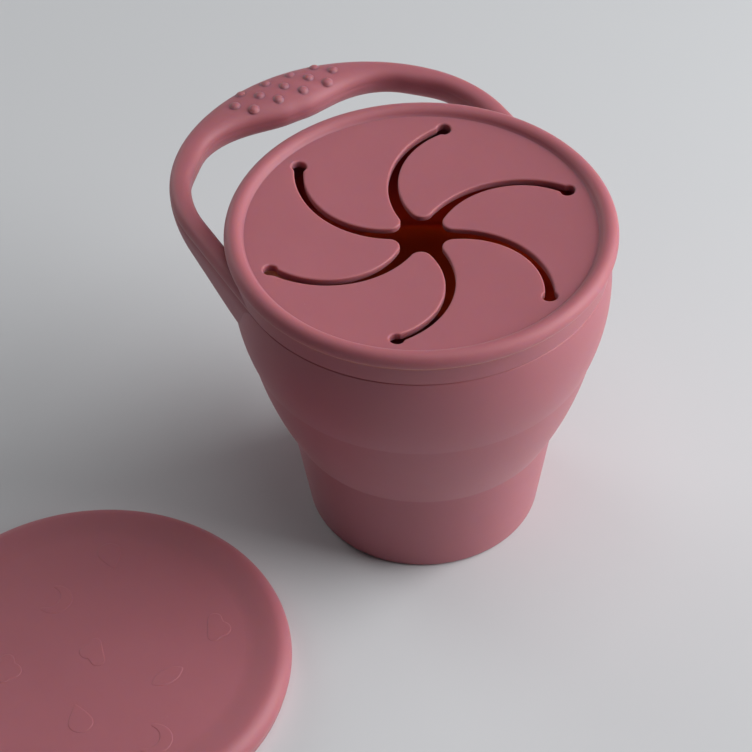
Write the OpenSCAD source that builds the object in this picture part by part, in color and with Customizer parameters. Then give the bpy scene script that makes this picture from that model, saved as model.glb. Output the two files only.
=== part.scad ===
// Collapsible silicone snack pot for a toddler, with a strap handle, a lid cut
// into six spiral flaps and a travel cover that lies beside it.
// The pot stands on the floor at the origin. The handle points along +Y.

/* [Pot] */
// Outer radius at the collar line
collar_r = 48.3; // [44:0.1:54]
// Height of the collar line, where the two halves of the mould meet
collar_z = 84.9; // [82:0.1:92]
// How much narrower the pot is at its upper crease than at the collar line
upper_taper = 3.3; // [2:0.1:5]
// Height of the upper crease
crease_up_z = 57.5; // [53:0.1:61]
// How much narrower it is at the lower crease than at the upper one
fold_taper = 9.5; // [8:0.1:11]
// Height of the lower crease
crease_low_z = 29.7; // [26:0.1:33]
// How much narrower it is at the floor than at the lower crease
base_taper = 4.3; // [2:0.1:6]
// Height of the collar band above that line
collar_h = 5.7; // [5:0.1:7]
// How far the collar flares out up to the rim
collar_flare = 0.4; // [0:0.1:0.8]
// Thickness of the stiff walls
wall_t = 2.2; // [1.6:0.1:2.6]
// Thickness of the wall that folds
fold_t = 1.4; // [1:0.1:1.8]
// Thickness of the floor
floor_t = 2.4; // [1.6:0.1:4]
// Outward bulge of the upper wall between crease and collar
upper_bulge = 1.7; // [0.4:0.1:2.2]
// Outward bulge of the folding wall
fold_bulge = 1; // [0.2:0.1:1.6]
// Rounding where the pot meets the floor
foot_round = 1.4; // [0.6:0.1:2.5]
// Rounding inside, between floor and wall
inside_round = 4; // [2:0.1:8]
// Parting gap at each crease
crease_gap = 0.3; // [0.1:0.05:0.5]

/* [Lid] */
// How far the lid's bead stands out past the pot's rim
lid_over = 1.25; // [0.6:0.05:2]
// Radius of the round bead
bead_r = 2.4; // [2:0.05:3]
// Height of the bead's centre above the rim
bead_rise = 2; // [1.6:0.1:2.4]
// Thickness of the lid's plate and of its flaps
plate_t = 2.3; // [1.6:0.1:2.8]
// Height of the plate's top above the rim
plate_rise = 2.5; // [2.3:0.1:3.2]
// Wall of the plug that goes down inside the pot
plug_t = 2.2; // [1.4:0.1:3]
// Depth of the plug below the rim
plug_h = 5.8; // [3:0.1:8]
// Gap between plug and pot
plug_gap = 0.3; // [0.2:0.05:0.6]
// Gap between the bead and the pot's rim
seat_gap = 0.3; // [0.1:0.05:0.5]

/* [Flaps] */
// Distance from the bead's inner side to the centres of the keyholes
key_inset = 4.75; // [4.2:0.05:6]
// Radius of the keyhole at the end of each slit
key_r = 1.95; // [1.4:0.05:2.4]
// Width of a slit where it runs into its keyhole
slit_w = 2.5; // [1.8:0.1:3]
// How far the slit's hollow edge turns on its way from the mouth to the keyhole
slit_in_turn = 119.5; // [112:0.5:124]
// How far its full edge turns
slit_out_turn = 108.6; // [102:0.5:114]
// Distance from the lid's centre to the hollow edge
mouth_in = 3.9; // [3.2:0.1:4.6]
// Distance that the full edge runs past the lid's centre
mouth_out = 0.8; // [0.2:0.1:1.4]
// Rounding of a flap's tip
tip_r = 2.3; // [1.4:0.1:3]
// Angle at which the flaps sag at rest
flap_sag = 4; // [0:0.5:6]
// Running gap round each flap's root
hinge_gap = 0.2; // [0.1:0.05:0.3]
// Turn of the first flap about the lid's centre
flap_turn = 21.2; // [0:0.1:59.9]

/* [Handle] */
// Distance from the pot's axis to the outer edge of the grip
handle_reach = 81.3; // [78:0.1:90]
// Distance along the handle at which its straight sides start to bend
handle_bend = 37.4; // [33:0.1:42]
// Width of the straps next to the pot
strap_w = 5.7; // [5:0.1:8]
// Width of the straps in the bends next to the grip
bend_w = 6.7; // [5.5:0.1:9]
// Distance inside the grip's outer edge at which the straps start to narrow
bend_inset = 15; // [12:0.5:24]
// Length over which they narrow from there towards the pot
strap_blend = 10.5; // [8:0.5:20]
// Width of the grip
grip_w = 16.1; // [12:0.1:18]
// Half of the grip's length
grip_half = 34.9; // [28:0.1:40]
// Half of the length over which the grip keeps its full width
grip_full = 2.8; // [1:0.1:8]
// Height of the handle's top above the collar line
strap_top = 2.9; // [2.4:0.1:4]
// Height of the grip's top above the collar line
grip_top = 4.4; // [3.6:0.1:5.6]
// Depth of the handle below the collar line
strap_low = 5.1; // [4:0.1:6]
// Depth of the handle's root below the collar line
root_low = 14.5; // [10:0.1:17]
// Distance from the pot's axis at which the handle starts to deepen towards its root
root_from = 60; // [50:0.5:66]
// Length over which it deepens
root_blend = 59.5; // [45:0.5:64]
// Squareness of the handle's section
handle_square = 2.4; // [2:0.1:3]
// Number of bumps in the grip's middle row
bump_count = 5; // [3:1:5]
// Spacing of the bumps along the grip
bump_pitch = 7.5; // [4:0.05:8]
// Spacing of the three rows of bumps
bump_row = 3.85; // [3:0.05:4.4]
// Radius of a bump at its foot
bump_r = 1.25; // [0.8:0.05:1.4]
// Height of a bump
bump_h = 0.6; // [0.4:0.05:1]

/* [Travel cover] */
// Wall outside the lid's bead
cover_t = 1.45; // [1:0.05:2.5]
// Gap between the bead and the cover that snaps over it
cover_fit = 0.1; // [0.05:0.05:0.3]
// Height of the cover
cover_h = 8; // [7.4:0.1:10]
// Radius of its rounded edge
cover_edge = 3.8; // [3:0.1:4.4]
// Thickness of its top
cover_top = 1.6; // [1:0.1:2]
// Depth of the dish in its top
cover_dish = 0.9; // [0.2:0.1:1.2]
// Width of the slope from the edge down to the dish
cover_slope = 8; // [4:0.5:14]
// How far the rounded edge turns back in under its widest line
cover_tuck = 35; // [20:1:45]
// Catch of the lip under the bead
cover_lip = 0.5; // [0.2:0.1:1]
// Space between the cover and the lid, seen from above
cover_space = 7.1; // [2:0.1:30]
// Direction of the cover from the pot
cover_turn = 187.5; // [100:0.1:360]

/* [Hidden] */

rose = "#a9646f";
rose_dark = "#94535f";
rose_light = "#b4707b";

round_fn = 96;
arc_steps = 8;
flap_count = 6;
half_step = 180 / flap_count;
cut_over = 1;
trim_gap = 0.05;

crease_up_r = collar_r - upper_taper;
crease_low_r = crease_up_r - fold_taper;
base_r = crease_low_r - base_taper;
rim_r = collar_r + collar_flare;
rim_z = collar_z + collar_h;
pot_in_r = collar_r - wall_t;

lid_r = rim_r + lid_over;
bead_c = lid_r - bead_r;
bead_z = rim_z + bead_rise;
bead_low = rim_z + seat_gap;
plate_z = rim_z + plate_rise;
plug_r = pot_in_r - plug_gap;
plug_z = rim_z - plug_h;

key_d = bead_c - bead_r - key_inset;
hinge_d = key_d * cos(half_step);
hinge_z = plate_z - plate_t / 2;
knuckle_r = plate_t / 2 - 0.02;

// The radius of an arc that turns by a between two points key_d apart, the first
// of them m outside the arc's circle and the second w outside it
function arc_radius(a, m, w) =
    let (q = 1 - cos(a), b = (m + w) * q, e = m * m + w * w - 2 * m * w * cos(a) - key_d * key_d)
    (sqrt(b * b - 2 * q * e) - b) / (2 * q);
slit_in_r = arc_radius(slit_in_turn, mouth_in, slit_w / 2);
slit_out_r = arc_radius(slit_out_turn, -mouth_out, -slit_w / 2);

// Centres of the two arcs that bound a slit. The angles are measured from the
// direction of the slit's keyhole, and each centre follows from its distances
// to the lid's centre and to the keyhole.
function arc_angle(c, k) = acos((c * c + key_d * key_d - k * k) / (2 * c * key_d));
function polar(r, a) = [r * cos(a), r * sin(a)];
in_c = slit_in_r + mouth_in;
in_a = arc_angle(in_c, slit_in_r + slit_w / 2);
out_c = slit_out_r - mouth_out;
out_a = arc_angle(out_c, slit_out_r - slit_w / 2);

function arc(c, r, a, b, n) = [for (i = [0:n]) c + polar(r, a + (b - a) * i / n)];
function angle_of(v) = atan2(v[1], v[0]);

// A flap's outline, with the flap's root along the line x = hinge_d
flap_in = polar(in_c, half_step - in_a);
flap_out = polar(out_c, -half_step - out_a);
tip_span = norm(flap_out - flap_in);
tip_dir = (flap_out - flap_in) / tip_span;
tip_near = slit_in_r - tip_r;
tip_far = slit_out_r + tip_r;
tip_run = (tip_near * tip_near - tip_far * tip_far + tip_span * tip_span) / (2 * tip_span);
tip_side = sqrt(tip_near * tip_near - tip_run * tip_run);
tip_c = flap_in + tip_dir * tip_run + [tip_dir[1], -tip_dir[0]] * tip_side;
root_top_a = acos((hinge_d - flap_in[0]) / slit_in_r);
root_low_a = acos((hinge_d - flap_out[0]) / slit_out_r);
root_top = flap_in[1] + slit_in_r * sin(root_top_a);
root_bottom = flap_out[1] + slit_out_r * sin(root_low_a);
tip_start_a = angle_of(tip_c - flap_in);
tip_end_a = angle_of(flap_out - tip_c) + 360;
full_start_a = angle_of(tip_c - flap_out);
flap_points = concat(
    arc(flap_in, slit_in_r, root_top_a, tip_start_a, 2 * arc_steps),
    arc(tip_c, tip_r, tip_start_a, tip_end_a, arc_steps),
    arc(flap_out, slit_out_r, full_start_a, root_low_a, 2 * arc_steps));

// The stretch of a slit that lies outside the flaps, with its keyhole on +X
slit_sweep = 50;
slit_end_in = angle_of([key_d, 0] - polar(in_c, -in_a));
slit_end_out = angle_of([key_d, 0] - polar(out_c, -out_a));
slit_points = concat(
    arc(polar(out_c, -out_a), slit_out_r, slit_end_out, slit_end_out + slit_sweep, arc_steps),
    arc(polar(in_c, -in_a), slit_in_r, slit_end_in + slit_sweep, slit_end_in, arc_steps));

// Points up a wall from p to q, bulging outward by b in the middle
function wall_line(p, q, b, n) =
    let (d = (q - p) / norm(q - p))
    [for (i = [0:n]) let (t = i / n) p + (q - p) * t + [d[1], -d[0]] * 4 * b * t * (1 - t)];
function inward(pts, t) = [for (i = [len(pts) - 1:-1:0]) pts[i] - [t, 0]];
function wall_ring(pts, t) = concat(pts, inward(pts, t));

upper_line = wall_line([crease_up_r, crease_up_z + crease_gap / 2], [collar_r, collar_z],
                       upper_bulge, arc_steps);
fold_line = wall_line([crease_low_r, crease_low_z + crease_gap / 2],
                      [crease_up_r, crease_up_z - crease_gap / 2], fold_bulge, arc_steps);

// The handle's outer edge is half an ellipse with straight sides. A station is
// an angle on the ellipse, or a length along a side where it lies below 0 or above 180.
handle_a = collar_r - trim_gap;
handle_b = handle_reach - handle_bend;
bend_step = 6;
side_n = 6;
side_sink = 2;
side_step = (handle_bend + side_sink) / side_n;
bend_n = 180 / bend_step;
handle_n = bend_n + 2 * side_n;
ring_n = 20;
function station(i) = (i - side_n) * bend_step;
function bend_at(i) = min(180, max(0, station(i)));
function side_at(i) = max(0, side_n - i, i - side_n - bend_n) * side_step;
function edge_at(i) =
    [handle_a * cos(bend_at(i)), handle_bend + handle_b * sin(bend_at(i)) - side_at(i)];
function normal_at(i) =
    let (v = [cos(bend_at(i)) / handle_a, sin(bend_at(i)) / handle_b]) v / norm(v);
function ease(t) = let (u = min(1, max(0, t))) u * u * (3 - 2 * u);
function grip_share(x) = ease((grip_half - abs(x)) / (grip_half - grip_full));
function side_share(y) = ease((handle_reach - bend_inset - y) / strap_blend);
function root_share(y) = ease((root_from - y) / root_blend);
function handle_w(p) = bend_w + (strap_w - bend_w) * side_share(p[1])
    + (grip_w - bend_w) * grip_share(p[0]);
function handle_top(p) = strap_top + (grip_top - strap_top) * grip_share(p[0]);
function handle_low(p) = strap_low + (root_low - strap_low) * root_share(p[1]);
function signed_pow(v) = sign(v) * pow(abs(v), 2 / handle_square);
function handle_ring(i) =
    let (e = edge_at(i), n = normal_at(i), w = handle_w(e) / 2)
    [for (j = [0:ring_n - 1])
        let (a = 360 * j / ring_n, u = w * signed_pow(cos(a)) - w, s = signed_pow(sin(a)))
        [e[0] + n[0] * u, e[1] + n[1] * u, collar_z + s * (s > 0 ? handle_top(e) : handle_low(e))]];

cover_r = lid_r + cover_fit + cover_t;
cover_mid = lid_r + cover_space + cover_r;

// Outline of the pot's outer wall from its upper crease to its rim
function pot_outline(g) = concat([[0, crease_up_z]], [for (p = upper_line) p + [g, 0]],
                                 [[rim_r + g, rim_z + cut_over], [0, rim_z + cut_over]]);

module ring(pts) {
    rotate_extrude($fn = round_fn) polygon(pts);
}

module base_cup() {
    slope = (crease_low_r - base_r) / crease_low_z;
    top = crease_low_z - crease_gap / 2;
    inner = base_r - wall_t;
    in_z = floor_t + inside_round;
    in_r = inner + slope * in_z;
    outer = concat([[0, 0]],
        arc([base_r - foot_round + slope * foot_round, foot_round], foot_round, -90, 0, 5),
        [[base_r + slope * top, top], [inner + slope * top, top]],
        arc([in_r - inside_round, in_z], inside_round, 0, -90, arc_steps),
        [[0, floor_t]]);
    color(rose) ring(outer);
}

module fold_wall() {
    color(rose_dark) ring(wall_ring(fold_line, fold_t));
}

module upper_wall() {
    line = concat(upper_line, [[rim_r, rim_z - 0.4], [rim_r - 0.4, rim_z]]);
    inner = concat([[rim_r - wall_t + 0.3, rim_z], [pot_in_r + collar_flare, rim_z - 0.3]],
                   inward(upper_line, wall_t));
    color(rose) ring(concat(line, inner));
}

// Half-round bumps in three staggered rows, set into the grip's top
module grip_bumps() {
    ball = (bump_r * bump_r + bump_h * bump_h) / (2 * bump_h);
    mid_y = handle_reach - grip_w / 2;
    for (row = [-1:1]) {
        n = bump_count - abs(row);
        for (i = [0:n - 1]) {
            x = (i - (n - 1) / 2) * bump_pitch;
            edge_y = handle_bend + handle_b * sqrt(1 - x * x / (handle_a * handle_a));
            w = handle_w([x, edge_y]) / 2;
            y = mid_y + row * bump_row;
            u = min(0.9, abs(edge_y - w - y) / w);
            z = handle_top([x, edge_y]) * pow(1 - pow(u, handle_square), 1 / handle_square);
            translate([x, y, collar_z + z + bump_h - ball]) sphere(r = ball, $fn = 24);
        }
    }
}

module carry_handle() {
    points = [for (i = [0:handle_n]) each handle_ring(i)];
    sides = [for (i = [0:handle_n - 1]) for (j = [0:ring_n - 1])
        let (k = (j + 1) % ring_n, a = i * ring_n, b = a + ring_n)
        each [[a + j, a + k, b + j], [a + k, b + k, b + j]]];
    first = [for (j = [ring_n - 1:-1:0]) j];
    last = [for (j = [0:ring_n - 1]) handle_n * ring_n + j];
    color(rose) difference() {
        union() {
            polyhedron(points, concat(sides, [first], [last]));
            grip_bumps();
        }
        ring(pot_outline(trim_gap));
    }
}

module lid_ring() {
    in_r = plug_r - plug_t;
    low = plate_z - plate_t;
    side_low = asin((bead_low - bead_z) / bead_r);
    side_top = 180 - asin((plate_z - bead_z) / bead_r);
    profile = concat(
        [[0, low], [in_r - 1, low], [in_r, low - 1], [in_r, plug_z + 0.4], [in_r + 0.4, plug_z],
         [plug_r - 0.6, plug_z], [plug_r, plug_z + 0.6], [plug_r, bead_low]],
        arc([bead_c, bead_z], bead_r, side_low, side_top, 2 * arc_steps),
        [[0, plate_z]]);
    color(rose) difference() {
        ring(profile);
        translate([0, 0, low - cut_over])
            linear_extrude(plate_t + 2 * cut_over)
                polygon([for (i = [0:flap_count - 1]) polar(key_d, flap_turn + half_step + 2 * half_step * i)]);
        for (i = [0:flap_count - 1]) {
            rotate([0, 0, flap_turn + half_step + 2 * half_step * i]) {
                translate([0, 0, low - cut_over])
                    linear_extrude(plate_t + 2 * cut_over) polygon(slit_points);
                translate([key_d, 0, low - cut_over])
                    cylinder(r = key_r, h = plate_t + 2 * cut_over, $fn = round_fn / 2);
            }
            rotate([0, 0, flap_turn + 2 * half_step * i])
                translate([hinge_d, key_d / 2, hinge_z]) rotate([90, 0, 0])
                    cylinder(r = plate_t / 2 + hinge_gap, h = key_d, $fn = round_fn / 2);
        }
    }
}

// One flap: a spiral leaf that sags a little from the round root it bends about
module flap(i) {
    length = root_top - root_bottom - 2 * hinge_gap;
    color(rose_light) rotate([0, 0, flap_turn + 2 * half_step * i]) translate([hinge_d, 0, hinge_z]) {
        translate([0, root_top - hinge_gap, 0]) rotate([90, 0, 0])
            cylinder(r = knuckle_r, h = length, $fn = round_fn / 2);
        rotate([0, -flap_sag, 0]) translate([-hinge_d, 0, -plate_t / 2])
            linear_extrude(plate_t) polygon(flap_points);
    }
}

module flap_1() { flap(0); }
module flap_2() { flap(1); }
module flap_3() { flap(2); }
module flap_4() { flap(3); }
module flap_5() { flap(4); }
module flap_6() { flap(5); }

module travel_cover() {
    groove_r = lid_r + cover_fit;
    lip_r = groove_r - cover_lip;
    c = [cover_r - cover_edge, cover_h - cover_edge];
    top_z = cover_h - cover_dish;
    dish_r = c[0] - cover_slope;
    inner_edge = cover_edge - cover_t;
    profile = concat(
        [[lip_r, 0], [c[0] + cover_edge * cos(cover_tuck) - 0.2, 0]],
        arc(c, cover_edge, -cover_tuck, 90, arc_steps),
        [[dish_r + 1.5, top_z + 0.15], [dish_r, top_z], [0, top_z], [0, top_z - cover_top],
         [dish_r, top_z - cover_top]],
        arc(c, inner_edge, 90, 0, arc_steps),
        [[groove_r, 2], [lip_r, 1.4]]);
    color(rose) translate([cover_mid * cos(cover_turn), cover_mid * sin(cover_turn), 0]) ring(profile);
}

base_cup();
fold_wall();
upper_wall();
carry_handle();
lid_ring();
flap_1();
flap_2();
flap_3();
flap_4();
flap_5();
flap_6();
travel_cover();
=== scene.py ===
import math

import bmesh
import bpy
from mathutils import Matrix, Vector


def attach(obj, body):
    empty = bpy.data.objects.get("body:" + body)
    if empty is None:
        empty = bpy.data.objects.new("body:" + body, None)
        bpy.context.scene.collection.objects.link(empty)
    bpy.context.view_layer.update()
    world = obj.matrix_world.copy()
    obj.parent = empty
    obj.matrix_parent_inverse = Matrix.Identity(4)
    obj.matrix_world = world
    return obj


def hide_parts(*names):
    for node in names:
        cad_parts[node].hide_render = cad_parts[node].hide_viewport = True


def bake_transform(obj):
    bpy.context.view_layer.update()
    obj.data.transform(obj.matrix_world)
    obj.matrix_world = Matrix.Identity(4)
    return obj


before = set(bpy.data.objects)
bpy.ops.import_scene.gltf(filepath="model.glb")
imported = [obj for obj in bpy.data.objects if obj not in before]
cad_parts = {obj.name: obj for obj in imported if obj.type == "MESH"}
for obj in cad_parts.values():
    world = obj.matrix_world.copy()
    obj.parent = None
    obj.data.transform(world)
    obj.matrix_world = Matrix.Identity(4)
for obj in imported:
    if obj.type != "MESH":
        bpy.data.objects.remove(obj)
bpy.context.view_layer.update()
scene = bpy.context.scene
scene.view_settings.view_transform = "Standard"
MM = 0.001

# ---- Camera
# A long lens looks down on the lid from in front of the pot's bare side, with
# the handle behind on the left and the cover cut by the picture's corner.
CAMERA_AT = Vector((-0.25563, -0.44106, 0.53905))
LOOK = Vector((0.34357, 0.62756, -0.6987)).normalized()
CAMERA_TILT = -0.02746
SENSOR, LENS, NEAREST = 36, 128.14, 0.02

level = LOOK.cross(Vector((0, 0, 1))).normalized()
upright = level.cross(LOOK)
across = math.cos(CAMERA_TILT) * level + math.sin(CAMERA_TILT) * upright
above = math.cos(CAMERA_TILT) * upright - math.sin(CAMERA_TILT) * level
bpy.ops.object.camera_add()
camera = bpy.context.object
facing = Matrix((across, above, -LOOK)).transposed().to_4x4()
camera.matrix_world = Matrix.Translation(CAMERA_AT) @ facing
camera.data.sensor_width = SENSOR
camera.data.lens = LENS
camera.data.clip_start = NEAREST
scene.camera = camera

# ---- Studio
# A seamless pale grey table lit by one large, low soft box on the right, with
# a weak one overhead, a weak one behind on the left and faint light all round.
TABLE_SIZE = 8
TABLE_GREY, PALE = (0.675, 0.69, 0.71, 1), (0.62, 0.63, 0.645, 1)
HAZE_FROM, HAZE_TO = 0.5, 1.8
AIR_COLOUR, AIR_STRENGTH = (0.97, 0.99, 1, 1), 0.045
AIM = Vector((0, 0, 0.05))
back = Vector((-level.y, level.x, 0))

bpy.ops.object.select_all(action="DESELECT")
bpy.ops.mesh.primitive_plane_add(size=TABLE_SIZE)
table = bpy.context.object
table.name = "table"
table_paint = bpy.data.materials.new("table_paint")
table_paint.use_nodes = True
table_shader = table_paint.node_tree.nodes["Principled BSDF"]
table_shader.inputs["Base Color"].default_value = TABLE_GREY
table_shader.inputs["Roughness"].default_value = 0.75
table_shader.inputs["Specular IOR Level"].default_value = 0.2

# Far from the object, the camera sees the table fade into the pale room
nodes, link = table_paint.node_tree.nodes, table_paint.node_tree.links.new
spot, reach = nodes.new("ShaderNodeNewGeometry"), nodes.new("ShaderNodeVectorMath")
fade = nodes.new("ShaderNodeMapRange")
reach.operation = "LENGTH"
link(spot.outputs["Position"], reach.inputs[0])
fade.interpolation_type = "SMOOTHSTEP"
fade.inputs["From Min"].default_value = HAZE_FROM
fade.inputs["From Max"].default_value = HAZE_TO
link(reach.outputs["Value"], fade.inputs["Value"])
seen, both = nodes.new("ShaderNodeLightPath"), nodes.new("ShaderNodeMath")
both.operation = "MULTIPLY"
link(fade.outputs["Result"], both.inputs[0])
link(seen.outputs["Is Camera Ray"], both.inputs[1])
haze, blend = nodes.new("ShaderNodeEmission"), nodes.new("ShaderNodeMixShader")
haze.inputs["Color"].default_value = PALE
link(both.outputs[0], blend.inputs["Fac"])
link(table_shader.outputs["BSDF"], blend.inputs[1])
link(haze.outputs["Emission"], blend.inputs[2])
link(blend.outputs["Shader"], nodes["Material Output"].inputs["Surface"])
table.data.materials.append(table_paint)


def soft_box(name, right, behind, up, size, power):
    """A round lamp that faces the pot, placed as the camera sees it: right, behind and up."""
    place = level * right + back * behind + Vector((0, 0, up))
    bpy.ops.object.light_add(type="AREA", location=place)
    lamp = bpy.context.object
    lamp.name = name
    lamp.data.shape = "DISK"
    lamp.data.size = size
    lamp.data.energy = power
    lamp.visible_camera = False
    lamp.rotation_euler = (AIM - place).to_track_quat("-Z", "Y").to_euler()


soft_box("key", 0.88, 0, 0.52, size=1.0, power=13.1)
soft_box("top", 0.17, 0, 1.03, size=0.8, power=2.4)
soft_box("fill", -0.66, 0.66, 0.39, size=0.5, power=1.9)

# The air is dim for the object and pale for the camera
world = bpy.data.worlds.new("studio")
scene.world = world
world.use_nodes = True
air = world.node_tree.nodes["Background"]
air.inputs["Color"].default_value = AIR_COLOUR
air.inputs["Strength"].default_value = AIR_STRENGTH
nodes, link = world.node_tree.nodes, world.node_tree.links.new
room, blend = nodes.new("ShaderNodeBackground"), nodes.new("ShaderNodeMixShader")
seen = nodes.new("ShaderNodeLightPath")
room.inputs["Color"].default_value = PALE
link(seen.outputs["Is Camera Ray"], blend.inputs["Fac"])
link(air.outputs["Background"], blend.inputs[1])
link(room.outputs["Background"], blend.inputs[2])
link(blend.outputs["Shader"], nodes["World Output"].inputs["Surface"])

# ---- Pot
# One moulding of soft silicone: a stiff cup, a thin wall that rolls inside out
# when the pot is pushed flat, and a stiff upper wall with the collar.
COLLAR_R, COLLAR_Z = 48.3, 84.9
COLLAR_H, COLLAR_FLARE = 5.7, 0.4
CREASE_UP_R, CREASE_UP_Z = 45.0, 57.5
CREASE_LOW_R, CREASE_LOW_Z = 35.5, 29.7
BASE_R = 31.2
WALL, FOLD_WALL, FLOOR = 2.2, 1.4, 2.4
UPPER_BULGE, FOLD_BULGE = 1.7, 1.0
FOOT_ROUND, INSIDE_ROUND = 1.4, 4.0
CREASE_ROUND, CREASE_IN_ROUND = 3.0, 2
SEAM_HALF, SEAM_DEEP = 0.24, 0.28
RIM_R, RIM_Z = COLLAR_R + COLLAR_FLARE, COLLAR_Z + COLLAR_H
ROSE, LINT = (0.433, 0.131, 0.162, 1), (0.75, 0.6, 0.6, 1)
MOTTLE, GRAIN, GRAIN_HIGH = 0.02, 2600.0, 0.00001
# Painted on the pot's inside: a dark painted shade deep down, and a painted amber glow of light
# through the wall just above the upper crease
PAINTED_SHADE_ROSE, PAINTED_GLOW_AMBER = (0.22, 0.045, 0.06, 1), (0.56, 0.21, 0.12, 1)
PAINTED_SHADE_Z, PAINTED_GLOW_Z, ROSE_Z, RAMP_Z = 50, 60, 76, 100
FLOOR_BELOW, MERGE = 8, 0.002


def silicone_skin():
    """Colour, roughness and height of moulded silicone: mottle, fine grain, lint."""
    group = bpy.data.node_groups.new("silicone_skin", "ShaderNodeTree")
    face = group.interface
    for label, kind, value in (
        ("Colour", "NodeSocketColor", (0.5, 0.5, 0.5, 1)),
        ("Mottle", "NodeSocketFloat", 0.05),
        ("Grain", "NodeSocketFloat", 2500.0),
    ):
        face.new_socket(label, in_out="INPUT", socket_type=kind).default_value = value
    for label, kind in (
        ("Colour", "NodeSocketColor"),
        ("Roughness", "NodeSocketFloat"),
        ("Height", "NodeSocketFloat"),
    ):
        face.new_socket(label, in_out="OUTPUT", socket_type=kind)
    add, link = group.nodes.new, group.links.new
    into, out = add("NodeGroupInput"), add("NodeGroupOutput")
    place = add("ShaderNodeTexCoord")

    def noise(scale, detail):
        node = add("ShaderNodeTexNoise")
        node.inputs["Scale"].default_value = scale
        node.inputs["Detail"].default_value = detail
        link(place.outputs["Object"], node.inputs["Vector"])
        return node

    def spread(source, low, high, to_low, to_high):
        node = add("ShaderNodeMapRange")
        node.clamp = True
        ends = {"From Min": low, "From Max": high, "To Min": to_low, "To Max": to_high}
        for label, value in ends.items():
            node.inputs[label].default_value = value
        link(source, node.inputs["Value"])
        return node.outputs["Result"]

    def maths(kind, a, b):
        node = add("ShaderNodeMath")
        node.operation = kind
        for socket, value in zip(node.inputs, (a, b)):
            if isinstance(value, (int, float)):
                socket.default_value = value
            else:
                link(value, socket)
        return node.outputs[0]

    broad = spread(noise(45, 3).outputs["Fac"], 0.3, 0.7, -1, 1)
    bright = maths("ADD", maths("MULTIPLY", broad, into.outputs["Mottle"]), 1)
    tone = add("ShaderNodeHueSaturation")
    link(into.outputs["Colour"], tone.inputs["Color"])
    link(bright, tone.inputs["Value"])

    # Lint: a few pale specks a fifth of a millimetre across
    cells = add("ShaderNodeTexVoronoi")
    cells.inputs["Scale"].default_value = 260
    link(place.outputs["Object"], cells.inputs["Vector"])
    dot = spread(cells.outputs["Distance"], 0.02, 0.035, 1, 0)
    rare = add("ShaderNodeSeparateColor")
    link(cells.outputs["Color"], rare.inputs["Color"])
    few = spread(rare.outputs["Red"], 0.93, 0.94, 0, 0.35)
    lint = add("ShaderNodeMix")
    lint.data_type = "RGBA"
    link(maths("MULTIPLY", dot, few), lint.inputs["Factor"])
    link(tone.outputs["Color"], lint.inputs["A"])
    lint.inputs["B"].default_value = LINT
    link(lint.outputs["Result"], out.inputs["Colour"])

    # Roughness is all but even, and the height is a fine grain over soft waves
    dull = spread(noise(140, 4).outputs["Fac"], 0.3, 0.7, 0.55, 0.575)
    link(dull, out.inputs["Roughness"])
    fine = add("ShaderNodeTexNoise")
    fine.inputs["Detail"].default_value = 2
    link(place.outputs["Object"], fine.inputs["Vector"])
    link(into.outputs["Grain"], fine.inputs["Scale"])
    soft = noise(320, 2)
    grained = maths("MULTIPLY", fine.outputs["Fac"], 0.35)
    link(maths("ADD", grained, soft.outputs["Fac"]), out.inputs["Height"])
    return group


skin = silicone_skin()


def silicone(name):
    """Matt rose silicone that lets light in, with the shared skin over it."""
    paint = bpy.data.materials.new(name)
    paint.use_nodes = True
    nodes, link = paint.node_tree.nodes, paint.node_tree.links.new
    shader = nodes["Principled BSDF"]
    shader.inputs["IOR"].default_value = 1.42
    shader.inputs["Specular IOR Level"].default_value = 0.75
    shader.inputs["Sheen Weight"].default_value = 0.12
    shader.inputs["Sheen Roughness"].default_value = 0.45
    shader.inputs["Subsurface Weight"].default_value = 0.5
    shader.inputs["Subsurface Radius"].default_value = (1.0, 0.55, 0.2)
    shader.inputs["Subsurface Scale"].default_value = 4 * MM
    made = nodes.new("ShaderNodeGroup")
    made.node_tree = skin
    made.inputs["Colour"].default_value = ROSE
    made.inputs["Mottle"].default_value = MOTTLE
    made.inputs["Grain"].default_value = GRAIN
    link(made.outputs["Colour"], shader.inputs["Base Color"])
    link(made.outputs["Roughness"], shader.inputs["Roughness"])
    rough = nodes.new("ShaderNodeBump")
    rough.inputs["Strength"].default_value = 1.0
    rough.inputs["Distance"].default_value = GRAIN_HIGH
    link(made.outputs["Height"], rough.inputs["Height"])
    link(rough.outputs["Normal"], shader.inputs["Normal"])
    return paint


def rounded(corners, steps=6):
    """Points of a line whose corners, given as x, y, radius, are rounded by arcs."""
    straight, most = math.radians(89.9), 0.49
    line = [Vector(corners[0][:2])]
    for before, (x, y, radius), after in zip(corners, corners[1:], corners[2:]):
        here = Vector((x, y))
        to_a, to_b = Vector(before[:2]) - here, Vector(after[:2]) - here
        half = to_a.angle(to_b) / 2
        if radius <= 0 or half > straight:
            line.append(here)
            continue
        reach = min(radius / math.tan(half), most * to_a.length, most * to_b.length)
        a, b = here + to_a.normalized() * reach, here + to_b.normalized() * reach
        for i in range(steps + 1):
            t = i / steps
            line.append((1 - t) ** 2 * a + 2 * t * (1 - t) * here + t * t * b)
    line.append(Vector(corners[-1][:2]))
    return line


def bowed(start, end, bulge, steps=18):
    """Points from start to end that bulge outward by so much half way."""
    a, b = Vector(start), Vector(end)
    along = (b - a).normalized()
    out = Vector((along.y, -along.x))
    return [
        a + (b - a) * i / steps + out * 4 * bulge * (i / steps) * (1 - i / steps)
        for i in range(steps + 1)
    ]


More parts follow.
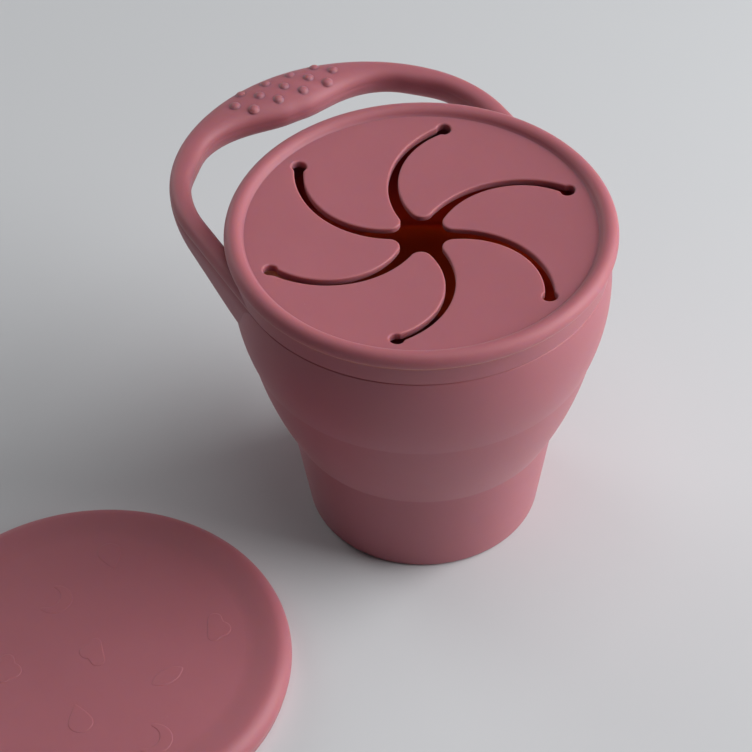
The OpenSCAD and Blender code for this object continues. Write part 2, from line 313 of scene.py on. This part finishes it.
def drawn(name, line, close=False):
    """A chain of edges through the points, drawn by extruding one vertex along them."""
    bpy.ops.object.select_all(action="DESELECT")
    bpy.ops.mesh.primitive_plane_add(size=MM)
    piece = bpy.context.object
    piece.name = piece.data.name = name
    bpy.ops.object.mode_set(mode="EDIT")
    bpy.ops.mesh.select_mode(type="VERT")
    bpy.ops.mesh.select_all(action="SELECT")
    bpy.ops.mesh.merge(type="CENTER")
    points = [Vector(p) * MM for p in line]
    bpy.ops.transform.translate(value=points[0])
    for here, there in zip(points, points[1:]):
        bpy.ops.mesh.extrude_vertices_move(TRANSFORM_OT_translate={"value": there - here})
    if close:
        bpy.ops.mesh.select_all(action="SELECT")
        bpy.ops.mesh.edge_face_add()
    return piece


def turned(name, line, steps=192):
    """A closed ring or cup, spun about Z from a line of (radius, height) points."""
    piece = drawn(name, [(p[0], 0, p[1]) for p in line])
    bpy.ops.mesh.select_all(action="SELECT")
    bpy.ops.mesh.spin(steps=steps, angle=2 * math.pi, center=(0, 0, 0), axis=(0, 0, 1))
    bpy.ops.mesh.select_all(action="SELECT")
    bpy.ops.mesh.remove_doubles(threshold=MERGE * MM)
    bpy.ops.mesh.normals_make_consistent(inside=False)
    bpy.ops.object.mode_set(mode="OBJECT")
    bpy.ops.object.shade_smooth()
    return piece


def sharp(points):
    """The points as corners for rounded() that stay as they are."""
    return [(p[0], p[1], 0) for p in points]


upper_outer = bowed((CREASE_UP_R, CREASE_UP_Z), (COLLAR_R, COLLAR_Z), UPPER_BULGE)
fold_outer = bowed((CREASE_LOW_R, CREASE_LOW_Z), (CREASE_UP_R, CREASE_UP_Z), FOLD_BULGE)
base_slope = (CREASE_LOW_R - BASE_R) / CREASE_LOW_Z
outer = (
    [(0, 0, 0), (BASE_R, 0, FOOT_ROUND)]
    + [(BASE_R + base_slope * z, z, 0) for z in (6, 12, 18, 24)]
    + [(CREASE_LOW_R, CREASE_LOW_Z, CREASE_ROUND)]
    + sharp(fold_outer[1:-1])
    + [(CREASE_UP_R, CREASE_UP_Z, CREASE_ROUND)]
    + sharp(upper_outer[1:-1])
    + [
        (COLLAR_R, COLLAR_Z - SEAM_HALF, 0.05),
        (COLLAR_R - SEAM_DEEP, COLLAR_Z, 0.03),
        (COLLAR_R, COLLAR_Z + SEAM_HALF, 0.05),
        (RIM_R, RIM_Z, 0.5),
        (RIM_R - WALL + 0.2, RIM_Z, 0.4),
    ]
)
inner = (
    [(p.x - WALL, p.y, 0) for p in upper_outer[::-1]]
    + [(p.x - FOLD_WALL, p.y, 0) for p in fold_outer[-2:0:-1]]
    + [(CREASE_LOW_R - WALL, CREASE_LOW_Z, CREASE_IN_ROUND)]
    + [(BASE_R - WALL + base_slope * FLOOR, FLOOR, INSIDE_ROUND), (0, FLOOR, 0)]
)
pot = turned("pot_wall", rounded(outer + inner))
pot.data.materials.append(silicone("pot_silicone"))

# The inside lets more light through, and its colour carries painted light and shade by height:
# painted shade darkens it deep down, and a painted amber glow of light coming through
# the wall sits just above the upper crease, before it turns rose towards the rim
inside = silicone("pot_inside_silicone")
inside_shader = inside.node_tree.nodes["Principled BSDF"]
inside_shader.inputs["Subsurface Weight"].default_value = 1.0
inside_shader.inputs["Subsurface Radius"].default_value = (1.0, 0.62, 0.2)
inside_shader.inputs["Subsurface Scale"].default_value = 5 * MM
nodes, link = inside.node_tree.nodes, inside.node_tree.links.new
place, split = nodes.new("ShaderNodeTexCoord"), nodes.new("ShaderNodeSeparateXYZ")
link(place.outputs["Object"], split.inputs["Vector"])
depth = nodes.new("ShaderNodeMapRange")
depth.inputs["From Max"].default_value = RAMP_Z * MM
link(split.outputs["Z"], depth.inputs["Value"])
painted_light_ramp = nodes.new("ShaderNodeValToRGB")
link(depth.outputs["Result"], painted_light_ramp.inputs["Fac"])
bands = painted_light_ramp.color_ramp
bands.interpolation = "EASE"
bands.elements[0].position, bands.elements[0].color = PAINTED_SHADE_Z / RAMP_Z, PAINTED_SHADE_ROSE
bands.elements[1].position, bands.elements[1].color = ROSE_Z / RAMP_Z, ROSE
bands.elements.new(PAINTED_GLOW_Z / RAMP_Z).color = PAINTED_GLOW_AMBER
link(painted_light_ramp.outputs["Color"], nodes["Group"].inputs["Colour"])
pot.data.materials.append(inside)
for face in pot.data.polygons:
    is_floor = face.normal.z > 0.5 and face.center.z < FLOOR_BELOW * MM
    if face.normal.xy.dot(face.center.xy) < 0 or is_floor:
        face.material_index = 1
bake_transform(pot)
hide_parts("base_cup", "fold_wall", "upper_wall")

# ---- Handle
# A soft strap moulded in one with the collar. It widens into a grip at its far
# end, which carries three rows of low bumps, and deepens where it meets the pot.
HANDLE_REACH, HANDLE_BEND = 81.3, 37.4
HANDLE_RISE = HANDLE_REACH - HANDLE_BEND
HANDLE_SIDE = COLLAR_R - 0.05
STRAP_W, BEND_W, GRIP_W = 5.7, 6.7, 16.1
GRIP_HALF, GRIP_FULL = 34.9, 2.8
STRAP_TOP, GRIP_TOP, STRAP_LOW, ROOT_LOW = 2.9, 4.4, 5.1, 14.5
SIDE_BACK, SIDE_FADE = 15, 10.5
ROOT_FROM, ROOT_FADE = 60, 59.5
SQUARE, ROUND_POINTS = 2.4, 48
NOTCH_V, NOTCH_TALL, RIDGE = 0.04, 5, -0.3
SIDE_STEPS, SIDE_STEP = 24, 1.625
BEND_STEPS, BEND_STEP = 120, 1.5
PRESSED = 0.15
BUMP_H, BUMP_COUNT, BUMP_PITCH, BUMP_ROW = 0.6, 5, 7.5, 3.85


def ease(t):
    """Goes softly from 0 to 1."""
    t = min(1, max(0, t))
    return t * t * (3 - 2 * t)


def handle_place(s):
    """Outer edge and outward direction at s.

    s is an angle on the bend, or beyond 0 or 180 a length down a side.
    """
    bend = math.radians(min(180, max(0, s)))
    down = max(0, -s, s - 180)
    y = HANDLE_BEND + HANDLE_RISE * math.sin(bend) - down
    edge = Vector((HANDLE_SIDE * math.cos(bend), y))
    out = Vector((math.cos(bend) / HANDLE_SIDE, math.sin(bend) / HANDLE_RISE))
    return edge, out.normalized()


def handle_size(edge):
    """Width, height above and depth below the collar line where the outer edge is here."""
    grip = ease((GRIP_HALF - abs(edge.x)) / (GRIP_HALF - GRIP_FULL))
    side = ease((HANDLE_REACH - SIDE_BACK - edge.y) / SIDE_FADE)
    root = ease((ROOT_FROM - edge.y) / ROOT_FADE)
    width = BEND_W + (STRAP_W - BEND_W) * side + (GRIP_W - BEND_W) * grip
    high = STRAP_TOP + (GRIP_TOP - STRAP_TOP) * grip
    return width, high, STRAP_LOW + (ROOT_LOW - STRAP_LOW) * root


def section():
    """Unit points round the handle's section, each with the depth of its notch.

    The mould's seam is a notch on the outside and a fine ridge on the inside.
    """
    points = []
    for i in range(ROUND_POINTS):
        a = 2 * math.pi * (i + 0.5) / ROUND_POINTS
        c, s = math.cos(a), math.sin(a)
        u = math.copysign(abs(c) ** (2 / SQUARE), c)
        points.append((u, math.copysign(abs(s) ** (2 / SQUARE), s), 0))
    half = ROUND_POINTS // 2
    outside = [(1, -NOTCH_V, 0), (1, 0, 1), (1, NOTCH_V, 0)]
    inside = [(-1, NOTCH_V, 0), (-1, 0, RIDGE), (-1, -NOTCH_V, 0)]
    return outside + points[1 : half - 1] + inside + points[half + 1 : -1]


ring = section()
stations = (
    [SIDE_STEP * (i - SIDE_STEPS) for i in range(SIDE_STEPS)]
    + [BEND_STEP * i for i in range(BEND_STEPS + 1)]
    + [180 + SIDE_STEP * i for i in range(1, SIDE_STEPS + 1)]
)
bpy.ops.object.select_all(action="DESELECT")
bpy.ops.mesh.primitive_grid_add(x_subdivisions=len(stations) - 1, y_subdivisions=len(ring))
handle = bpy.context.object
handle.name = handle.data.name = "handle"
for i, vertex in enumerate(handle.data.vertices):
    s = stations[i % len(stations)]
    u, v, notch = ring[i // len(stations) % len(ring)]
    edge, out = handle_place(s)
    width, high, low = handle_size(edge)
    spot = edge + out * (u * width / 2 - width / 2 - math.copysign(notch * SEAM_DEEP, u))
    tall = NOTCH_TALL if abs(v) <= NOTCH_V else high if v > 0 else low
    vertex.co = Vector((spot.x, spot.y, COLLAR_Z + v * tall)) * MM
bpy.ops.object.mode_set(mode="EDIT")
bpy.ops.mesh.select_all(action="SELECT")
bpy.ops.mesh.remove_doubles(threshold=MERGE * MM)
bpy.ops.mesh.select_all(action="DESELECT")
bpy.ops.mesh.select_non_manifold()
bpy.ops.mesh.edge_face_add()
bpy.ops.mesh.select_all(action="SELECT")
bpy.ops.mesh.normals_make_consistent(inside=False)
bpy.ops.object.mode_set(mode="OBJECT")
bpy.ops.object.shade_smooth()

# Its ends are pressed back into the pot's wall, clear of the inside
deep = (COLLAR_R - WALL / 2) * MM
for vertex in handle.data.vertices:
    r = vertex.co.xy.length
    if r < deep:
        vertex.co.xy *= (deep - PRESSED * (deep - r)) / r

# One bump is spun and copied on to the grip's top, square to the surface there
bumps = []
for row in (-1, 0, 1):
    count = BUMP_COUNT - abs(row)
    for i in range(count):
        x = (i - (count - 1) / 2) * BUMP_PITCH
        arch = math.sqrt(1 - (x / HANDLE_SIDE) ** 2)
        edge = Vector((x, HANDLE_BEND + HANDLE_RISE * arch))
        width, high, low = handle_size(edge)
        y = HANDLE_REACH - GRIP_W / 2 + row * BUMP_ROW
        u = min(0.9, abs(edge.y - width / 2 - y) / (width / 2))
        z = high * (1 - u**SQUARE) ** (1 / SQUARE)
        steep = u ** (SQUARE - 1) * (1 - u**SQUARE) ** (1 / SQUARE - 1)
        lean = math.atan(high / (width / 2) * steep)
        lean = math.copysign(lean, y - edge.y + width / 2)
        bumps.append((Vector((x, y, COLLAR_Z + z)), lean))
bump_line = [(1.6, -0.12), (1.45, -0.01), (1.32, 0.06), (1.18, 0.2)]
bump_line += [(0.98, 0.37), (0.7, 0.5), (0.36, 0.58), (0, BUMP_H)]
bump = turned("bump", bump_line, steps=32)
for spot, lean in bumps:
    copy = bump.copy()
    copy.data = bump.data.copy()
    scene.collection.objects.link(copy)
    copy.data.transform(Matrix.Translation(spot * MM) @ Matrix.Rotation(-lean, 4, "X"))
    copy.select_set(True)
bpy.data.objects.remove(bump)
handle.select_set(True)
bpy.context.view_layer.objects.active = handle
bpy.ops.object.join()
handle.data.materials.append(silicone("handle_silicone"))
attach(handle, "upper")
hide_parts("carry_handle")

# ---- Lid
# A separate silicone ring with a round bead, a thin lip under it and a plug that
# is pressed into the pot's rim. The leaves are moulded in one with it.
LID_R, BEAD_R, BEAD_Z = 49.95, 2.4, 92.6
BEAD_C = LID_R - BEAD_R
PLATE_Z, PLATE_T, PLATE_R = 93.1, 2.3, 44.85
PLUG_R, PLUG_T, PLUG_Z = 45.8, 2.2, 84.8
LAP_R, LAP_T = PLUG_R - PLUG_T - 0.6, 1.2
LIP_Z = RIM_Z + 0.3


def arc(centre, radius, start, end, steps):
    """Points on a circle from one angle to another."""
    turns = [math.radians(start + (end - start) * i / steps) for i in range(steps + 1)]
    x, y = centre
    return [(x + radius * math.cos(a), y + radius * math.sin(a)) for a in turns]


low = PLATE_Z - PLATE_T
lid_line = rounded(
    [
        (LAP_R, low + LAP_T, 0),
        (LAP_R, low, 0.3),
        (PLUG_R - PLUG_T, low - 0.6, 0.4),
        (PLUG_R - PLUG_T, PLUG_Z, 0.5),
        (PLUG_R, PLUG_Z, 0.7),
        (PLUG_R, LIP_Z, 0.3),
        (LID_R - 0.75, LIP_Z, 0.15),
        (LID_R - 0.42, RIM_Z + 0.42, 0.12),
        (LID_R - 0.62, RIM_Z + 0.62, 0.1),
    ]
    + sharp(arc((BEAD_C, BEAD_Z), BEAD_R, -30, 158, 26))
    + [
        (PLATE_R, PLATE_Z - 0.02, 0.15),
        (PLATE_R - 1.2, PLATE_Z - 0.5, 0),
        (LAP_R, low + LAP_T, 0),
    ]
)
lid = turned("lid_ring_shell", lid_line)
lid.data.materials.append(silicone("lid_silicone"))
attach(lid, "lid")
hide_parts("lid_ring")

# ---- Leaves
# Six spiral leaves part under a small hand and close behind it. They are cut out
# of the lid's plate by curved slits that end in round holes, so they can't tear.
LEAVES, LEAF_TURN = 6, 21.2
HALF = 180 / LEAVES
KEY_D, KEY_R = 40.4, 1.95
FULL_AT, FULL_R = (24.7, 1.55), 20.8
HOLLOW_AT, HOLLOW_R = (25.1, -65.35), 25.9
TIP_R = 2.9
EDGE_ROUND, UNDER_ROUND, PINCH = 0.45, 0.35, 1.1
SAG, THIN = 1.9, 0.75
SEAM_OVER = 1.3
ROOT_X, RIM_OVER = 34.5, 0.7
FINE, EVEN, COARSE = 0.3, 0.6, 1.5
SAME, PINCH_CLEAR = 0.01, 1.05
GRID_X, GRID_Y, GRID_STEP = (4, 46), (-24, 24), 1.3
FLAT, SNAP, SLIVER = 0.999, 1e-6, 1e-7


def polar(r, a):
    """The point at a radius and an angle in degrees."""
    return Vector((r * math.cos(math.radians(a)), r * math.sin(math.radians(a))))


def meet(c0, r0, c1, r1, side):
    """Where two circles cross, left of the line between their centres for 1, right for -1."""
    line = c1 - c0
    d = line.length
    a = (r0 * r0 - r1 * r1 + d * d) / (2 * d)
    h = math.sqrt(max(0, r0 * r0 - a * a))
    along = line / d
    return c0 + along * a + Vector((-along.y, along.x)) * h * side


def swept(centre, radius, a, b, turn, step):
    """Points from a to b round a centre, turning left for 1 and right for -1."""
    start = math.atan2(a.y - centre.y, a.x - centre.x)
    end = math.atan2(b.y - centre.y, b.x - centre.x)
    span = (end - start) * turn % (2 * math.pi) * turn
    count = max(2, round(abs(span) * radius / step))
    turns = [start + span * i / count for i in range(count + 1)]
    return [centre + radius * Vector((math.cos(a), math.sin(a))) for a in turns]


full_c, hollow_c = polar(*FULL_AT), polar(*HOLLOW_AT)
key_a, key_b = polar(KEY_D, HALF), polar(KEY_D, -HALF)
tip_c = meet(full_c, FULL_R - TIP_R, hollow_c, HOLLOW_R + TIP_R, -1)
key_full = meet(key_a, KEY_R, full_c, FULL_R, -1)
key_hollow = meet(key_b, KEY_R, hollow_c, HOLLOW_R, -1)
far_a, far_b = polar(KEY_D + KEY_R, HALF), polar(KEY_D + KEY_R, -HALF)
over_a, over_b = polar(SEAM_OVER, HALF + 90), polar(SEAM_OVER, -HALF - 90)
rim_a = polar(PLATE_R + RIM_OVER, HALF) + over_a
rim_b = polar(PLATE_R + RIM_OVER, -HALF) + over_b
tip_full = full_c + (tip_c - full_c).normalized() * FULL_R
tip_hollow = hollow_c + (tip_c - hollow_c).normalized() * HOLLOW_R
path = (
    [far_a + over_a]
    + swept(key_a, KEY_R, far_a, key_full, -1, FINE)[:-1]
    + swept(full_c, FULL_R, key_full, tip_full, 1, EVEN)[:-1]
    + swept(tip_c, TIP_R, tip_full, tip_hollow, 1, FINE)[:-1]
    + swept(hollow_c, HOLLOW_R, tip_hollow, key_hollow, -1, EVEN)[:-1]
    + swept(key_b, KEY_R, key_hollow, far_b, -1, FINE)
    + [far_b + over_b]
)

# Where a slit opens into its hole, the nearest points give way to a rounded corner
corners = []
for p in path:
    gap = min((p - end).length for end in (key_full, key_hollow))
    if gap < SAME or gap >= PINCH_CLEAR:
        corners.append((p.x, p.y, PINCH if gap < SAME else 0))
leaf_line = rounded(corners)
leaf_line += swept(Vector((0, 0)), rim_a.length, rim_b, rim_a, 1, COARSE)


def pick(piece, wanted):
    """Selects the faces that are wanted, and nothing else."""
    mesh = bmesh.from_edit_mesh(piece.data)
    for part in (mesh.verts, mesh.edges, mesh.faces):
        for item in part:
            item.select = False
    for one in mesh.faces:
        if wanted(one):
            one.select_set(True)
    mesh.select_flush_mode()
    bmesh.update_edit_mesh(piece.data)


def round_over(radius, up, steps=5):
    """Rounds the selected face's border with rows of insets, and one narrow flat row inside."""
    for i in range(steps):
        a, b = math.pi / 2 * i / steps, math.pi / 2 * (i + 1) / steps
        bpy.ops.mesh.inset(thickness=radius * (math.cos(a) - math.cos(b)) * MM)
        rise = up * radius * (math.sin(b) - math.sin(a)) * MM
        bpy.ops.transform.translate(value=(0, 0, rise))
    bpy.ops.mesh.inset(thickness=0.2 * MM)


def raised(name, line, z, height):
    """A closed line at height z, raised to a solid, left in edit mode."""
    piece = drawn(name, [(p.x, p.y, z) for p in line], close=True)
    bpy.ops.mesh.select_mode(type="FACE")
    bpy.ops.mesh.select_all(action="SELECT")
    bpy.ops.mesh.extrude_region_move(TRANSFORM_OT_translate={"value": (0, 0, height * MM)})
    bpy.ops.mesh.select_all(action="SELECT")
    bpy.ops.mesh.normals_make_consistent(inside=False)
    return piece


straight_side = PLATE_T - EDGE_ROUND - UNDER_ROUND
leaf = raised("leaf", leaf_line, PLATE_Z - PLATE_T + UNDER_ROUND, straight_side)
pick(leaf, lambda face: face.normal.z > FLAT)
round_over(EDGE_ROUND, 1)
pick(leaf, lambda face: face.normal.z < -FLAT)
round_over(UNDER_ROUND, -1, 3)

# The leaf is cut off at the radial seams to its neighbours, beyond the slits' ends
bpy.ops.mesh.select_all(action="SELECT")
bpy.ops.mesh.bisect(plane_co=(ROOT_X * MM, 0, 0), plane_no=(1, 0, 0), threshold=SNAP)
for plane in (polar(1, HALF + 90), polar(1, -HALF - 90)):
    pick(leaf, lambda face: all(v.co.x > (ROOT_X - 0.01) * MM for v in face.verts))
    bpy.ops.mesh.bisect(
        plane_co=(0, 0, 0),
        plane_no=(plane.x, plane.y, 0),
        use_fill=True,
        clear_outer=True,
        threshold=SNAP,
    )
    pick(leaf, lambda face: face.normal.xy.dot(plane) > FLAT)
    bpy.ops.mesh.region_to_loop()
    bpy.ops.mesh.mark_sharp()
    bpy.ops.mesh.select_mode(type="FACE")

# Its flat faces are cut into a grid, so that they can sag, and the leaf
# gets thinner towards its tip from below
for axis, (first, last) in (((1, 0, 0), GRID_X), ((0, 1, 0), GRID_Y)):
    for i in range(int((last - first) / GRID_STEP)):
        at = tuple(c * (first + GRID_STEP * i) * MM for c in axis)
        for up in (1, -1):
            pick(leaf, lambda face: face.normal.z * up > FLAT and face.calc_area() > SLIVER)
            bpy.ops.mesh.bisect(plane_co=at, plane_no=axis, threshold=SNAP)
bpy.ops.object.mode_set(mode="OBJECT")
for vertex in leaf.data.vertices:
    r = min(1, vertex.co.xy.length / MM / PLATE_R)
    under = (PLATE_Z - vertex.co.z / MM) / PLATE_T
    vertex.co.z += (under * THIN * (1 - r) - SAG * (1 - r**2)) * MM
bpy.ops.object.shade_smooth()
leaf.data.materials.append(silicone("leaf_silicone"))
for k in range(LEAVES):
    turn = math.radians(LEAF_TURN + 2 * HALF * k)
    copy = leaf.copy()
    copy.data = leaf.data.copy()
    copy.name = copy.data.name = f"leaf_{k + 1}"
    scene.collection.objects.link(copy)
    copy.data.transform(Matrix.Rotation(turn, 4, "Z"))
    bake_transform(copy)
    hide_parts(f"flap_{k + 1}")
bpy.data.objects.remove(leaf)

# ---- Travel cover
# A separate silicone disc that snaps over the lid's bead. Its edge is a soft
# roll round a shallow dish with small shapes in low relief.
COVER_R, COVER_H, COVER_EDGE = 51.5, 8.0, 3.8
COVER_DISH, COVER_SLOPE, COVER_SKIN, DISH_SKIN = 0.9, 8, 1.45, 1.6
COVER_TURN, COVER_GAP = 187.5, 7.1
COVER_IN, COVER_CATCH = 50.05, 0.5
DISH_Z = COVER_H - COVER_DISH
cover_at = polar(LID_R + COVER_GAP + COVER_R, COVER_TURN)
edge_c = (COVER_R - COVER_EDGE, COVER_H - COVER_EDGE)
dish_r = edge_c[0] - COVER_SLOPE
slope = [
    (dish_r + COVER_SLOPE * i / 10, COVER_H - COVER_DISH * (1 - ease(i / 10)))
    for i in range(1, 10)
]
cover_line = rounded(
    [(x, DISH_Z, 0) for x in range(0, 38, 2)]
    + [(dish_r, DISH_Z, 1.5)]
    + sharp(slope)
    + sharp(arc(edge_c, COVER_EDGE, 90, -35, 18))
    + [
        (COVER_R - 0.9, 0, 0.4),
        (COVER_IN - COVER_CATCH, 0, 0.4),
        (COVER_IN - COVER_CATCH, 1.4, 0.3),
        (COVER_IN, 2, 0.3),
    ]
    + sharp(arc(edge_c, COVER_EDGE - COVER_SKIN, 0, 90, 10))
    + [(dish_r, DISH_Z - DISH_SKIN, 1), (0, DISH_Z - DISH_SKIN, 0)]
)
cover = turned("travel_cover_shell", cover_line)

# Five plain shapes in low relief, set out as one in the middle and two rings of five
RELIEF_UP, RELIEF_EDGE, SHAPE_R = 0.1, 0.22, 4.9
RELIEF_ROOT, RELIEF_SIDE = 0.3, 0.304
RELIEF_ROWS = ((0.25, 0.15), (0.25, 0.35), (0.25, 0.35), (0.25, 0.15), (0.4, 0))
INNER_RING, OUTER_RING = (21.5, 20), (33.3, 56)


def star():
    points = [polar(1 if i % 2 == 0 else 0.55, 36 * i) for i in range(11)]
    round_it = [(p.x, p.y, 0.2) for p in points]
    return rounded(sharp([points[9]]) + round_it + sharp([points[1]]))[1:-1]


def crescent():
    centre, bite = Vector((0, 0)), Vector((0.45, 0))
    outer_r, inner_r, horn = 1, 0.74, 0.11
    high = meet(centre, outer_r - horn, bite, inner_r + horn, 1)
    low = Vector((high.x, -high.y))
    out_a, out_b = high.normalized() * outer_r, low.normalized() * outer_r
    in_a = bite + (high - bite).normalized() * inner_r
    in_b = bite + (low - bite).normalized() * inner_r
    return (
        swept(centre, outer_r, out_a, out_b, 1, 0.12)[:-1]
        + swept(low, horn, out_b, in_b, 1, 0.05)[:-1]
        + swept(bite, inner_r, in_b, in_a, -1, 0.12)[:-1]
        + swept(high, horn, in_a, out_a, 1, 0.05)[:-1]
    )


def cloud():
    return (
        arc((-0.6, -0.2), 0.4, 90, 270, 9)
        + arc((0.6, -0.25), 0.35, -90, 70, 9)
        + arc((0.12, 0.15), 0.52, 10, 165, 14)
    )


def drop():
    point = [(0.42, 0.35), (0.2, 0.72), (0, 1), (-0.2, 0.72), (-0.42, 0.35)]
    return arc((0, -0.3), 0.66, 155, 385, 24) + point


def blade():
    return arc((-0.75, 0), 1.25, -50, 50, 14) + arc((0.75, 0), 1.25, 130, 230, 14)


shapes = (star(), crescent(), cloud(), drop(), blade())
spots = [(0, 0, 2)]
for (r, first), shift in ((INNER_RING, 0), (OUTER_RING, 3)):
    spots += [(r, first + 72 * i, i + shift) for i in range(5)]
motifs = []
for r, angle, kind in spots:
    spot, turn = polar(r, angle), Matrix.Rotation(math.radians(37 * kind + angle), 2)
    line = [spot + turn @ Vector(p) * SHAPE_R for p in shapes[kind % 5]]
    motif = raised("motif", line, DISH_Z - RELIEF_ROOT, RELIEF_SIDE)
    pick(motif, lambda face: face.normal.z > FLAT)
    for wide, high in RELIEF_ROWS:
        bpy.ops.mesh.inset(thickness=RELIEF_EDGE * wide * MM)
        bpy.ops.transform.translate(value=(0, 0, RELIEF_UP * high * MM))
    bpy.ops.object.mode_set(mode="OBJECT")
    motifs.append(motif)

# The relief becomes one mesh with the cover
bpy.ops.object.select_all(action="DESELECT")
for motif in motifs:
    motif.select_set(True)
bpy.context.view_layer.objects.active = motifs[0]
bpy.ops.object.join()
bpy.ops.object.select_all(action="DESELECT")
cover.select_set(True)
bpy.context.view_layer.objects.active = cover
bpy.ops.object.modifier_add(type="BOOLEAN")
union = cover.modifiers[-1]
union.operation, union.solver, union.object = "UNION", "EXACT", motifs[0]
bpy.ops.object.modifier_apply(modifier=union.name)
bpy.data.objects.remove(motifs[0])
bpy.ops.object.shade_smooth_by_angle(angle=math.radians(35))
cover.data.transform(Matrix.Translation((cover_at.x * MM, cover_at.y * MM, 0)))
cover.data.materials.append(silicone("cover_silicone"))
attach(cover, "cover")
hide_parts("travel_cover")
